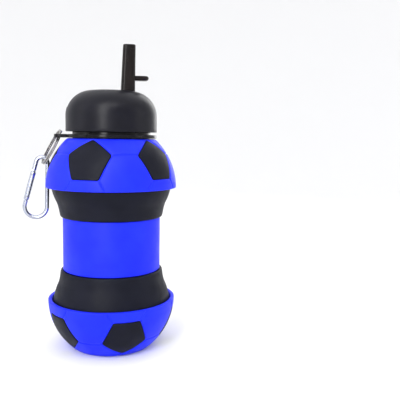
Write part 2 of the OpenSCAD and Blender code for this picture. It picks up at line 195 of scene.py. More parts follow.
alloy = metal("drawn_aluminium", (0.34, 0.36, 0.44), (0.46, 0.48, 0.57), 0.10, 0.18, 0.03, (6, 6, 1), 700)
pin_steel = metal("rivet_steel", (0.30, 0.30, 0.31), (0.42, 0.42, 0.43), 0.25, 0.38, 0.08, (1, 1, 1), 900)


# ---- Making pieces ----

def to_object(bm, name):
    mesh = bpy.data.meshes.new(name)
    bm.to_mesh(mesh)
    bm.free()
    obj = bpy.data.objects.new(name, mesh)
    bpy.context.scene.collection.objects.link(obj)
    return obj


def add_piece(bm, name, mat, body, nodes=(), smooth_below=35):
    """Makes a finished piece of a bmesh; without a body it is left for the caller to ride or blend."""
    bmesh.ops.remove_doubles(bm, verts=bm.verts, dist=2e-6)
    bmesh.ops.recalc_face_normals(bm, faces=bm.faces)
    piece = to_object(bm, name)
    finish_piece(piece, mat, smooth_below)
    if nodes:
        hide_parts(*nodes)
    if body:
        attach(piece, body)
    return piece


def finish_piece(piece, mat, smooth_below):
    piece.data.materials.clear()
    piece.data.materials.append(mat)
    shade(piece, smooth_below)


def shade(piece, angle):
    """Smooths a piece, and keeps the edges that turn by more than the angle crisp."""
    mesh = piece.data
    for poly in mesh.polygons:
        poly.use_smooth = True
    edges = bmesh.new()
    edges.from_mesh(mesh)
    for e in edges.edges:
        if len(e.link_faces) == 2:
            e.smooth = e.calc_face_angle(0) < radians(angle)
    edges.to_mesh(mesh)
    edges.free()


def bake(piece):
    """Takes a piece's modifiers into its mesh."""
    bpy.context.view_layer.update()
    mesh = bpy.data.meshes.new_from_object(piece.evaluated_get(bpy.context.evaluated_depsgraph_get()))
    piece.modifiers.clear()
    piece.data = mesh


def carve(piece, cutter, how="DIFFERENCE"):
    """Cuts another object out of a piece, or joins it on, and removes that object."""
    mod = piece.modifiers.new("carve", "BOOLEAN")
    mod.operation, mod.solver, mod.object = how, "EXACT", cutter
    bake(piece)
    bpy.data.objects.remove(cutter)


def soften(piece, width, segments, angle):
    """Rounds the edges that turn by more than the angle."""
    mod = piece.modifiers.new("soft_edges", "BEVEL")
    mod.limit_method, mod.angle_limit = "ANGLE", radians(angle)
    mod.width, mod.segments, mod.profile = width, segments, 0.5
    bake(piece)


def spun(profile, steps, closed=True):
    """Turns an outline of (radius, height) points once round the bottle's axis."""
    bm = bmesh.new()
    verts = [bm.verts.new((r, 0, z)) for r, z in profile]
    pairs = zip(verts, verts[1:] + verts[:1]) if closed else zip(verts, verts[1:])
    edges = [bm.edges.new(p) for p in pairs]
    bmesh.ops.spin(bm, geom=verts + edges, cent=ORIGIN, axis=(0, 0, 1), angle=2 * pi, steps=steps,
                   use_merge=True)
    return bm


def verts_of(geom):
    return [g for g in geom if isinstance(g, bmesh.types.BMVert)]


def edges_of(geom):
    return [g for g in geom if isinstance(g, bmesh.types.BMEdge)]


def rounded(corners, radius, segments=5):
    """Rounds an outline's corners: each corner is (a, b) or (a, b, its own radius)."""
    points = []
    n = len(corners)
    for i, corner in enumerate(corners):
        here = Vector(corner[:2])
        r = corner[2] if len(corner) > 2 else radius
        before = (Vector(corners[i - 1][:2]) - here)
        after = (Vector(corners[(i + 1) % n][:2]) - here)
        if r <= 0:
            points.append(tuple(here))
            continue
        half = before.angle(after) / 2
        reach = min(r / tan(half), before.length * 0.49, after.length * 0.49)
        a, b = here + before.normalized() * reach, here + after.normalized() * reach
        for k in range(segments + 1):
            t = k / segments
            points.append(tuple((1 - t) ** 2 * a + 2 * t * (1 - t) * here + t * t * b))
    return points


def curve_points(corners, count):
    """Points along the smooth curve that four (a, b) corners steer."""
    a, b, c, d = (Vector(corner) for corner in corners)
    steps = [k / count for k in range(count + 1)]
    return [tuple((1 - t) ** 3 * a + 3 * t * (1 - t) ** 2 * b + 3 * t * t * (1 - t) * c + t ** 3 * d)
            for t in steps]


def dress_node(name, mat):
    """Gives a part of the frame its finish."""
    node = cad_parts[name]
    node.data.materials.clear()
    node.data.materials.append(mat)


# ---- Half balls with their pentagon panels ----

SEAM_PARTS = 12         # parts that each seam is split into, so that it can follow the ball
PENTAGON_CUT = 0.347    # how far along the icosahedron's edges the pentagons reach
PENTAGON_TILT = radians(63.435)     # from the axis to the middle of a pentagon
PENTAGON_ROUNDING = 0.3 * MM
POCKET = 1.25           # depth of a pentagon's pocket in mm


def football(turn):
    """The seams' pattern on the unit ball: pentagons at both poles and five round each of them."""
    bm = bmesh.new()
    bmesh.ops.create_icosphere(bm, subdivisions=1, radius=1)
    first = min((v for v in bm.verts if 0.1 < v.co.z < 0.9), key=lambda v: atan2(v.co.y, v.co.x))
    swing = Matrix.Rotation(turn - atan2(first.co.y, first.co.x), 3, "Z")
    bmesh.ops.rotate(bm, verts=bm.verts, cent=ORIGIN, matrix=swing)
    side = next(iter(bm.edges)).calc_length()
    bmesh.ops.bevel(bm, geom=bm.verts[:], affect="VERTICES", offset=side * PENTAGON_CUT, segments=1,
                    profile=0.5, material=-1)
    bmesh.ops.subdivide_edges(bm, edges=bm.edges[:], cuts=SEAM_PARTS - 1, use_grid_fill=False)
    return bm


def with_sides(bm, count):
    return [f for f in bm.faces if len(f.verts) == count * SEAM_PARTS]


def round_pentagons(bm, amount):
    """Draws the corners of every pentagon in a little, so that they're round."""
    for face in with_sides(bm, 5):
        middle = face.calc_center_median()
        far = max((v.co - middle).length for v in face.verts)
        for v in face.verts:
            if (v.co - middle).length > 0.995 * far:
                v.co = v.co.lerp(middle, amount / far)


def onto_ball(bm, radius, depth):
    """Lays every point on the ball, as far under its skin as the depth layer says."""
    for v in bm.verts:
        v.co = v.co.normalized() * (radius - v[depth])


def ring_in(bm, faces, depth, thickness, level):
    """Insets faces evenly; the new inner loops lie that deep under the ball."""
    bmesh.ops.inset_individual(bm, faces=faces, thickness=thickness, depth=0, use_even_offset=True)
    for f in faces:
        for v in f.verts:
            v[depth] = level


def scale_face(bm, face, factor):
    about = Matrix.Translation(-face.calc_center_median())
    bmesh.ops.scale(bm, vec=(factor,) * 3, verts=face.verts[:], space=about)


def rings_to_middle(bm, faces, depth, level):
    """Fills faces with shrinking rings, so that they can follow the ball."""
    for factor in (0.85, 0.83, 0.8, 0.76, 0.7, 0.6, 0.45):
        faces = bmesh.ops.extrude_discrete_faces(bm, faces=faces)["faces"]
        for f in faces:
            scale_face(bm, f, factor)
            for v in f.verts:
                v[depth] = level
    for v in bmesh.ops.poke(bm, faces=faces)["verts"]:
        v[depth] = level


def ball_skin(radius):
    """The whole ball, blue, with creased seams and a pocket for each pentagon."""
    bm = football(panel_turn)
    round_pentagons(bm, PENTAGON_ROUNDING / radius)
    depth = bm.verts.layers.float.new("depth")
    crease = 0.55 * MM
    for v in bm.verts:
        v[depth] = crease
    pentagons, hexagons = with_sides(bm, 5), with_sides(bm, 6)
    for inward, level in ((0.22, 0.46), (0.2, 0.26), (0.25, 0.1), (0.35, 0.02), (0.6, 0.0)):
        ring_in(bm, hexagons, depth, inward * MM / radius, level * MM)
    rings_to_middle(bm, hexagons, depth, 0.0)
    for inward, level in ((0.03, 0.9), (0.1, POCKET)):
        ring_in(bm, pentagons, depth, inward * MM / radius, level * MM)
    rings_to_middle(bm, pentagons, depth, POCKET * MM)
    onto_ball(bm, radius, depth)
    return bm


def cut_level(bm, z, keep_above):
    bmesh.ops.bisect_plane(bm, geom=bm.verts[:] + bm.edges[:] + bm.faces[:], dist=1e-7, plane_co=(0, 0, z),
                           plane_no=(0, 0, 1), clear_inner=keep_above, clear_outer=not keep_above)


def open_loop(bm, z):
    return [e for e in bm.edges if e.is_boundary and all(abs(v.co.z - z) < 0.01 * MM for v in e.verts)]


def grow_wall(bm, edges, stations):
    """Carries an open loop on through (radius, height) stations round the bottle's axis."""
    for r, z in stations:
        edges = edges_of(bmesh.ops.extrude_edge_only(bm, edges=edges)["geom"])
        for v in {v for e in edges for v in e.verts}:
            flat = Vector((v.co.x, v.co.y, 0)).normalized() * r
            v.co = Vector((flat.x, flat.y, z))
    return edges


def half_ball(radius, up, height):
    """One half ball with a soft rim and its inner wall, open at its far end; heights are from the rim."""
    side = 1 if up else -1
    rim_cut, inner, far = 0.9 * MM, radius - ball_wall, height - 0.5 * MM
    bm = ball_skin(radius)
    cut_level(bm, side * rim_cut, up)
    cut_level(bm, side * far, not up)
    rim = [(radius - 0.02 * MM, 0.55 * MM), (radius - 0.1 * MM, 0.25 * MM), (radius - 0.32 * MM, 0.07 * MM),
           (radius - 0.65 * MM, 0.0), (inner + 0.75 * MM, 0.0), (inner + 0.35 * MM, 0.12 * MM),
           (inner + 0.1 * MM, 0.4 * MM), (inner, rim_cut)]
    inside = [(sqrt(inner ** 2 - z ** 2), z) for z in [k * 2.4 * MM for k in range(1, 13)]]
    edge = grow_wall(bm, open_loop(bm, side * rim_cut), [(r, side * z) for r, z in rim + inside])
    return bm, edge, open_loop(bm, side * far)


def make_upper_half():
    """The upper half ball, with a lip round its mouth that grips the neck tube."""
    height = neck_z - top_rim_z
    mouth, lip = 28.8 * MM, height - 4.1 * MM
    bm, inside, outside = half_ball(ball_r, True, height)
    inside = grow_wall(bm, inside, [(sqrt((ball_r - ball_wall) ** 2 - lip ** 2), lip), (mouth, lip)])
    top = sqrt(ball_r ** 2 - height ** 2)
    neck = grow_wall(bm, outside, [(top - 0.15 * MM, height - 0.16 * MM), (top - 0.7 * MM, height),
                                   (mouth + 0.4 * MM, height), (mouth, height - 0.3 * MM)])
    bmesh.ops.bridge_loops(bm, edges=inside + neck)
    bmesh.ops.translate(bm, verts=bm.verts, vec=(0, 0, top_rim_z))
    add_piece(bm, "upper_half_ball", blue, "upper", ["upper_shell"], 50)


def make_lower_half():
    """The lower half ball, with a flat foot and a pocket in it for the foot's inlay."""
    height = low_rim_z
    floor = height - 3.4 * MM
    bm, inside, outside = half_ball(low_r, False, height)
    bowl = sqrt((low_r - ball_wall) ** 2 - floor ** 2)
    inside = grow_wall(bm, inside, [(r, -floor) for r in (bowl, 24 * MM, 14 * MM, 5 * MM)])
    bmesh.ops.contextual_create(bm, geom=inside)
    foot = sqrt(low_r ** 2 - height ** 2)
    outside = grow_wall(bm, outside, [(foot - 0.12 * MM, -height + 0.12 * MM), (foot - 0.6 * MM, -height),
                                      (23 * MM, -height), (20 * MM, -height)])
    bmesh.ops.contextual_create(bm, geom=outside)
    bmesh.ops.translate(bm, verts=bm.verts, vec=(0, 0, low_rim_z))
    piece = add_piece(bm, "lower_half_ball", blue, None, ["lower_shell"], 50)
    carve(piece, to_object(base_pentagon(0.0, 2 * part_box("base_panel")[1].z), "base_pocket"))
    shade(piece, 50)
    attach(piece, "base")


def make_panel(radius, centre_z, k, up):
    """One black pentagon inlay with a soft edge, a little under the ball's skin."""
    edge, crown, thick, gap = 0.5 * MM, 0.05 * MM, 0.65 * MM, 0.26 * MM
    turn = panel_turn + radians(72 * k + (0 if up else 36))
    tilt = PENTAGON_TILT if up else pi - PENTAGON_TILT
    aim = Vector((sin(tilt) * cos(turn), sin(tilt) * sin(turn), cos(tilt)))
    bm = football(panel_turn)
    round_pentagons(bm, PENTAGON_ROUNDING / radius)
    face = max(bm.faces, key=lambda f: f.calc_center_median().normalized().dot(aim))
    bmesh.ops.delete(bm, geom=[f for f in bm.faces if f is not face], context="FACES")
    depth = bm.verts.layers.float.new("depth")
    faces = bm.faces[:]
    rim = bmesh.ops.inset_individual(bm, faces=faces, thickness=gap / radius, depth=0, use_even_offset=True)
    bmesh.ops.delete(bm, geom=rim["faces"], context="FACES")
    for v in bm.verts:
        v[depth] = edge
    for inward, level in ((0.1, 0.3), (0.15, 0.16), (0.25, 0.08), (0.5, 0.05)):
        ring_in(bm, faces, depth, inward * MM / radius, level * MM)
    rings_to_middle(bm, faces, depth, crown)
    onto_ball(bm, radius, depth)
    wall = bmesh.ops.extrude_edge_only(bm, edges=[e for e in bm.edges if e.is_boundary])["geom"]
    bmesh.ops.scale(bm, vec=(1 - thick / radius,) * 3, verts=verts_of(wall))
    back = bmesh.ops.contextual_create(bm, geom=edges_of(wall))["faces"]
    bmesh.ops.poke(bm, faces=back)
    bmesh.ops.translate(bm, verts=bm.verts, vec=(0, 0, centre_z))
    name = "%s_panel_%d" % ("upper" if up else "lower", k + 1)
    add_piece(bm, name + "_inlay", black, "upper" if up else "base", [name], 50)


def base_pentagon(gap, height):
    """The foot's pentagon as a block centred on the foot's face, drawn in by a gap all round."""
    bm = bmesh.new()
    bmesh.ops.create_circle(bm, cap_ends=True, segments=5, radius=0.343 * low_r - gap)
    corner = Matrix.Rotation(panel_turn + radians(36) - pi / 2, 3, "Z")
    bmesh.ops.rotate(bm, verts=bm.verts, matrix=corner)
    bmesh.ops.bevel(bm, geom=bm.verts[:], affect="VERTICES", offset=1.3 * MM, segments=5,
                    profile=0.5, material=-1)
    top = bmesh.ops.extrude_face_region(bm, geom=bm.faces[:])["geom"]
    bmesh.ops.translate(bm, verts=verts_of(top), vec=(0, 0, height))
    bmesh.ops.translate(bm, verts=bm.verts, vec=(0, 0, -height / 2))
    bmesh.ops.recalc_face_normals(bm, faces=bm.faces)
    return bm


def make_base_panel():
    low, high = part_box("base_panel")
    bm = base_pentagon(0.25 * MM, high.z - low.z)
    bmesh.ops.translate(bm, verts=bm.verts, vec=(0, 0, (low.z + high.z) / 2))
    rim = [e for e in bm.edges if all(abs(v.co.z - low.z) < 1e-6 for v in e.verts)]
    bmesh.ops.bevel(bm, geom=rim, affect="EDGES", offset=0.25 * MM, segments=3, profile=0.5, material=-1)
    add_piece(bm, "base_inlay", black, "base", ["base_panel"])


# ---- Folding middle ----


def waist_outline(inside_r, side):
    """Section of a waist: from its root inside the half ball, over the flare, to the bead on the sleeve."""
    wall, root_z = 1.7 * MM, -6 * MM
    root = sqrt(inside_r ** 2 - root_z ** 2)
    middle = (39.7 * MM, 11 * MM) if side > 0 else (40.3 * MM, 10.6 * MM)
    hip = (inside_r - 1.3 * MM, 4.2 * MM)
    below = tuple(m + 0.55 * (m - h) for m, h in zip(middle, hip))      # keeps the two curves in one line
    flare = curve_points([(root - 0.05 * MM, root_z), (inside_r - 0.25 * MM, -2 * MM), hip, middle], 22)
    flare += curve_points([middle, below, (38.1 * MM, 20.4 * MM), (37.5 * MM, 21.1 * MM)], 16)[1:]
    bead = [(37.1 * MM, 21.5 * MM), (36.5 * MM, 21.65 * MM), (36.05 * MM, 21.5 * MM), (35.95 * MM, 21.2 * MM)]
    inner = [(r - wall, z) for r, z in flare if z < 20.6 * MM]
    return [(r, side * z) for r, z in flare + bead + inner[::-1]]


def make_waist(lower):
    """A black band between its half ball and the sleeve, made in its open shape and left on no body; on the
    bottle it rolls inside out as the half ball goes over the sleeve.
    """
    name, rim, radius, side = "upper_waist", top_rim_z, ball_r, -1
    if lower:
        name, rim, radius, side = "lower_waist", low_rim_z, low_r, 1
    bm = spun([(r, rim + z) for r, z in waist_outline(radius - ball_wall, side)], 192)
    piece = add_piece(bm, name + "_band", black, None, [name], 50)
    if lower:
        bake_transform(piece)
    else:
        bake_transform(piece)


def make_sleeve():
    low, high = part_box("middle_sleeve")
    r, inner, soft = high.x, high.x - 2.4 * MM, 0.5 * MM
    outline = rounded([(r, low.z), (r, high.z), (inner, high.z), (inner, low.z)], soft)
    add_piece(spun(outline, 192), "middle_sleeve_wall", blue, "sleeve", ["middle_sleeve"])


# ---- Neck, collar and threads ----

def helix_ridge(radius, out, base, tip, z, turns):
    """A screw thread: a tapered ridge that runs in and out of the wall at its ends."""
    bm = bmesh.new()
    rise, run_in = thread_pitch * turns, thread_pitch * 0.1
    points = [(radius, -base / 2), (radius + out, -tip / 2), (radius + out, tip / 2), (radius, base / 2)]
    section = [bm.verts.new((r, 0, z + d)) for r, d in points]
    edges = [bm.edges.new(p) for p in zip(section, section[1:] + section[:1])]
    face = bm.faces.new(section)
    steps = int(96 * turns)
    bmesh.ops.spin(bm, geom=section + edges + [face], cent=ORIGIN, axis=(0, 0, 1), dvec=(0, 0, rise / steps),
                   angle=2 * pi * turns, steps=steps)
    for v in bm.verts:
        flat = Vector((v.co.x, v.co.y, 0))
        climbed = v.co.z - z + base / 2
        height = min(1.0, max(0.0, climbed / run_in), max(0.0, (rise + base - climbed) / run_in))
        flat = flat.normalized() * (radius + (flat.length - radius) * height)
        v.co = Vector((flat.x, flat.y, v.co.z))
    return bm


def make_neck():
    """The hard tube held in the upper half ball, and its screw thread for the cap."""
    low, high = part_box("neck_insert")
    r, bore, flange = 28.5 * MM, 25.5 * MM, 31.7 * MM
    ledge = low.z + 2.1 * MM
    outline = rounded([(bore + 1.6 * MM, low.z), (flange, low.z, 0.4 * MM), (flange, ledge, 0.4 * MM),
                       (r, ledge, 0.3 * MM), (r, high.z, 0.9 * MM), (bore, high.z, 0.5 * MM),
                       (bore, low.z + 1.8 * MM, 0.6 * MM)], 0.3 * MM)
    add_piece(spun(outline, 160), "neck_tube", collar_plastic, "upper", ["neck_insert"])
    ridge = helix_ridge(r - 0.1 * MM, 1.35 * MM, 2.2 * MM, 0.9 * MM, cap_z0 + 1.3 * MM, 1.15)
    add_piece(ridge, "neck_thread", collar_plastic, "upper", (), 25)


def plate(outline, z0, z1, soft, hole=None):
    """A flat plate with softened edges from a level outline."""
    bm = bmesh.new()
    verts = [bm.verts.new((x, y, z0)) for x, y in outline]
    face = bm.faces.new(verts)
    if hole:
        inner = [bm.verts.new((x, y, z0)) for x, y in hole]
        loop = [bm.edges.new(p) for p in zip(inner, inner[1:] + inner[:1])]
        edges = list(face.edges)
        bmesh.ops.delete(bm, geom=[face], context="FACES_ONLY")
        bmesh.ops.triangle_fill(bm, edges=edges + loop, use_beauty=True)
    top = bmesh.ops.extrude_face_region(bm, geom=bm.faces[:])["geom"]
    bmesh.ops.translate(bm, verts=verts_of(top), vec=(0, 0, z1 - z0))
    bmesh.ops.recalc_face_normals(bm, faces=bm.faces)
    sharp = [e for e in bm.edges if len(e.link_faces) == 2 and e.calc_face_angle(0) > radians(60)]
    bmesh.ops.bevel(bm, geom=sharp, affect="EDGES", offset=soft, segments=3, profile=0.5, material=-1)
    return bm


def slot_outline(cx, half, r, count):
    """A slot along Y: two half rounds of that radius, their middles half a length from its own."""
    points = []
    for side in (1, -1):
        for k in range(count + 1):
            a = pi * k / count if side > 0 else pi + pi * k / count
            points.append((cx + r * cos(a), side * half + r * sin(a)))
    return points


def make_collar():
    """The loose flat ring round the neck, and its tongue with a slot for the split ring."""
    low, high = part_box("neck_collar")
    r, bore = 33 * MM, 28.65 * MM
    outline = rounded([(bore, low.z), (r, low.z), (r, high.z), (bore, high.z)], 0.55 * MM)
    add_piece(spun(outline, 192), "collar_ring", collar_plastic, "collar", ["neck_collar"])
    eye_x, half, rim, hole = -37.6 * MM, 1.6 * MM, 3.8 * MM, 2.5 * MM
    root_x, root_y = -30 * MM, half + rim + 0.6 * MM
    left = [(x, y) for x, y in slot_outline(eye_x, half, rim, 20) if x <= eye_x + 0.2 * MM]
    left.sort(key=lambda p: -atan2(p[1], eye_x - p[0] + 0.5 * MM))
    tongue = left + [(root_x, -root_y), (root_x, root_y)]
    bm = plate(tongue, low.z, high.z, 0.5 * MM, slot_outline(eye_x, half, hole, 16))
    add_piece(bm, "collar_eye", collar_plastic, "collar", ["neck_collar"])


# ---- Cap ----

hinge = Vector((9 * MM, 0, cap_z0 + 20.2 * MM))
CAP_H = 30.3 * MM


def dome_outline(r, h, shoulder):
    """Side, round shoulder and crown of the cap, from the skirt up to the axis."""
    side_h = h - 0.6 * MM - shoulder
    inset, rise = r - shoulder, h - side_h
    crown = (inset ** 2 + rise ** 2 - shoulder ** 2) / (2 * (rise - shoulder))      # its radius
    touch = atan2(inset, crown - rise)
    bend = [(pi / 2 - touch) * k / 26 for k in range(27)]
    over = [touch * (1 - k / 8) for k in range(1, 9)]
    points = [(r, side_h * k / 4) for k in range(4)]
    points += [(inset + shoulder * cos(a), side_h + shoulder * sin(a)) for a in bend]
    return points + [(crown * sin(a), h - crown + crown * cos(a)) for a in over]


def channel_block(half):
    """The space that the spout folds into, as a block across the cap."""
    drum, floor, right = 8.9 * MM, hinge.z - 2.6 * MM, hinge.x + 9 * MM
    ramp, back, above = right + 6 * MM, -45 * MM, cap_z0 + 38.9 * MM
    start = pi + asin((hinge.z - floor) / drum)
    under = [start + (2 * pi - start) * k / 24 for k in range(25)]
    outline = [(back, floor)] + [(hinge.x + drum * cos(a), hinge.z + drum * sin(a)) for a in under]
    outline += [(right, hinge.z), (right, cap_z0 + 25.4 * MM), (ramp, cap_z0 + 31.4 * MM)]
    outline += [(ramp, above), (back, above)]
    bm = bmesh.new()
    face = bm.faces.new([bm.verts.new((x, -half, z)) for x, z in outline])
    far = bmesh.ops.extrude_face_region(bm, geom=[face])["geom"]
    bmesh.ops.translate(bm, verts=verts_of(far), vec=(0, 2 * half, 0))
    bmesh.ops.recalc_face_normals(bm, faces=bm.faces)
    return bm


def make_cap():
    """The screw cap: a dome over a skirt, cut across by the channel that the spout folds into."""
    wall, foot = 1.8 * MM, 0.5 * MM
    bore, shelf = cap_r - wall, CAP_H - 13.2 * MM
    skirt = [(bore, 0.35 * MM), (bore + 0.35 * MM, 0.0), (cap_r - foot, 0.0), (cap_r - 0.12 * MM, 0.14 * MM),
             (cap_r, foot)]
    dome = [p for p in dome_outline(cap_r, CAP_H, 18.5 * MM) if p[1] > 0.6 * MM]
    inside = [(0, shelf + wall), (bore - 3 * MM, shelf + wall), (bore, shelf - 1 * MM)]
    bm = spun([(x, cap_z0 + z) for x, z in skirt + dome + inside], 192)
    piece = add_piece(bm, "cap_dome", cap_plastic, None, ["cap_shell"])
    carve(piece, to_object(channel_block(7.2 * MM), "channel"))
    soften(piece, 0.4 * MM, 3, 38)
    shade(piece, 40)
    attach(piece, "cap")


# ---- Spout ----

def oblong(x0, x1, width, corner, z):
    """A level round-cornered oblong over the hinge; all its measures are in mm."""
    points = []
    for cx, cy, start in ((x1 - corner, width / 2 - corner, 0), (x0 + corner, width / 2 - corner, 90),
                          (x0 + corner, corner - width / 2, 180), (x1 - corner, corner - width / 2, 270)):
        for k in range(9):
            a = radians(start + 90 * k / 8)
            points.append(hinge + Vector((cx + corner * cos(a), cy + corner * sin(a), z)) * MM)
    return points


def loft(levels):
    """Skins a stack of outlines with the same number of points and closes both ends."""
    bm = bmesh.new()
    loops = []
    for points in levels:
        verts = [bm.verts.new(p) for p in points]
        loops.append([bm.edges.new(p) for p in zip(verts, verts[1:] + verts[:1])])
    for low, high in zip(loops, loops[1:]):
        bmesh.ops.bridge_loops(bm, edges=low + high)
    for loop in (loops[0], loops[-1]):
        bmesh.ops.contextual_create(bm, geom=loop)
    bmesh.ops.recalc_face_normals(bm, faces=bm.faces)
    return bm


def rod(start, end, r):
    """A round bar between two places given in mm from the hinge."""
    bm = bmesh.new()
    start, end = hinge + Vector(start) * MM, hinge + Vector(end) * MM
    span = end - start
    turn = Vector((0, 0, 1)).rotation_difference(span).to_matrix().to_4x4()
    place = Matrix.Translation((start + end) / 2) @ turn
    bmesh.ops.create_cone(bm, cap_ends=True, segments=32, radius1=r * MM, radius2=r * MM, depth=span.length,
                          matrix=place)
    return bm


def spout_drum():
    """The barrel that the spout turns on, about the hinge pins."""
    r, half = 8.4 * MM, 6.9 * MM
    outline = rounded([(0, -half, 0), (r, -half), (r, half), (0, half, 0)], 0.8 * MM)
    bm = bmesh.new()
    verts = [bm.verts.new((hinge.x + out, y, hinge.z)) for out, y in outline]
    edges = [bm.edges.new(p) for p in zip(verts, verts[1:])]
    bmesh.ops.spin(bm, geom=verts + edges, cent=hinge, axis=(0, 1, 0), angle=2 * pi, steps=96, use_merge=True)
    bmesh.ops.remove_doubles(bm, verts=bm.verts, dist=1e-6)
    bmesh.ops.recalc_face_normals(bm, faces=bm.faces)
    return bm


def spout_tube(length):
    """The flattened tube, slimmer towards its softened tip; measures in mm."""
    neck = length - 0.7
    levels = [oblong(-2.9 + 2.2 * t, 7.9 + 0.5 * t, 12.6 - 1.6 * t, 2.6, neck * t)
              for t in [k / 12 for k in range(13)]]
    levels += [oblong(back - 0.7, 8.4 - back, 11 - 2 * back, 2.6 - 0.8 * back, neck + up)
               for back, up in ((0.12, 0.35), (0.4, 0.62), (0.8, 0.7))]
    return loft(levels)


def finger_tab():
    """The round-ended tab that a thumb flips the spout by; measures in mm."""
    edge = ((-1.85, 2.2), (-1.7, 1.2), (-1.25, 0.5), (-0.4, 0.05), (0.4, 0.0), (1.1, 0.3), (1.5, 0.9),
            (1.65, 1.8))
    return loft([oblong(4, 18 - back, 9 - 2 * back, 3 - 0.7 * back, 19.2 + z) for z, back in edge])


def make_spout():
    length, bore = 43, 2.4
    piece = to_object(spout_drum(), "flip_spout")
    carve(piece, to_object(spout_tube(length), "tube"), "UNION")
    carve(piece, to_object(finger_tab(), "tab"), "UNION")
    carve(piece, to_object(rod((3.2, 0, 3), (4.44, 0, length + 2), bore), "bore"))
    carve(piece, to_object(rod((0, 0, -10), (0, 0, 1), bore), "port"))
    carve(piece, to_object(rod((0, 0, 0), (3.6, 0, 4.6), bore - 0.05), "turn"))
    soften(piece, 0.3 * MM, 2, 50)
    finish_piece(piece, smoke, 40)
    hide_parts("spout")
    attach(piece, "spout")


# ---- Split ring and carabiner ----

ring_centre = Vector((-44.1 * MM, 9.2 * MM, collar_z1 - 9.7 * MM))
RING_R = 13.7 * MM
RING_TURN, RING_LEAN = radians(12), radians(28)     # how the hanging ring is turned about Z and leans


def carry_face(bm, face, is_end, **path):
    """Spins a wire's end face along its path, and leaves it behind only where it is the wire's own end."""
    last = bmesh.ops.spin(bm, geom=[face], **path)["geom_last"]
    if not is_end:
        bmesh.ops.delete(bm, geom=[face], context="FACES_ONLY")
    return next(g for g in last if isinstance(g, bmesh.types.BMFace))


def make_split_ring():
    """Two turns of flat wire on each other, with a short step from one to the next."""
    pitch, half_out, half_side, soft = 1.15 * MM, 0.7 * MM, 0.535 * MM, 0.28 * MM
    corners = []
    for sx, sz, start in ((1, 1, 0), (-1, 1, 90), (-1, -1, 180), (1, -1, 270)):
        for k in range(5):
            a = radians(start + 90 * k / 4)
            corners.append((RING_R + sx * (half_out - soft) + soft * cos(a), 0,
                            sz * (half_side - soft) + soft * sin(a) - pitch / 2))
    bm = bmesh.new()
    verts = [bm.verts.new(p) for p in corners]
    bmesh.ops.rotate(bm, verts=verts, cent=ORIGIN, matrix=Matrix.Rotation(radians(14), 3, "Z"))
    face = bm.faces.new(verts)
    for run, (angle, shift, steps) in enumerate(((332, 0, 110), (28, pitch, 14), (332, 0, 110))):
        face = carry_face(bm, face, run == 0, cent=ORIGIN, axis=(0, 0, 1), angle=radians(angle), steps=steps,
                          dvec=(0, 0, shift / steps))
    hang = Matrix.Rotation(RING_TURN, 4, "Z") @ Matrix.Rotation(RING_LEAN + pi / 2, 4, "Y")
    place = Matrix.Translation(ring_centre) @ hang @ Matrix.Rotation(radians(215), 4, "Z")
    bmesh.ops.transform(bm, matrix=place, verts=bm.verts)
    add_piece(bm, "split_ring_wire", ring_steel, "ring", ["split_ring"], 40)


def hook_ends():
    """The middles of the carabiner's narrow bend, which hangs in the ring, and of its wide bend below."""
    up = Vector((sin(RING_LEAN) * cos(RING_TURN), sin(RING_LEAN) * sin(RING_TURN), cos(RING_LEAN)))
    across = Vector((-sin(RING_TURN), cos(RING_TURN), 0))
    slid = radians(22)      # how far round the ring from its lowest point the carabiner hangs
    held = ring_centre + RING_R * (sin(slid) * across - cos(slid) * up)
    return held + Vector((-0.8 * MM, 0, -0.8 * MM)), Vector((-56.7 * MM, held.y, 104 * MM))


narrow_end, wide_end = hook_ends()
WIRE_R, GATE_R, WIDE_R, NARROW_R = 1.6 * MM, 2.0 * MM, 8.2 * MM, 4.2 * MM
lean = atan2(narrow_end.x - wide_end.x, narrow_end.z - wide_end.z)
flare = asin((WIDE_R - NARROW_R) / (narrow_end - wide_end).length)      # each side's turn off the middle line
hook_plane = Matrix.Translation(wide_end) @ Matrix.Rotation(lean, 4, "Y")
gate_side = hook_plane @ Matrix.Rotation(flare, 4, "Y") @ Matrix.Translation((-WIDE_R, 0, 0))
# Places along the gate's side, up from the wide bend
GATE_START, LATCH, PIVOT, GATE_END = 3.4 * MM, 6 * MM, 23 * MM, 25.9 * MM
NOSE = GATE_END + 0.4 * MM


def pull_face(bm, face, vec, steps=1, grow=1.0):
    """Draws a wire's end face along, in even steps, with a growth at each."""
    for _ in range(steps):
        face = bmesh.ops.extrude_discrete_faces(bm, faces=[face])["faces"][0]
        bmesh.ops.translate(bm, verts=face.verts[:], vec=vec / steps)
        if grow != 1.0:
            scale_face(bm, face, grow)
    return face


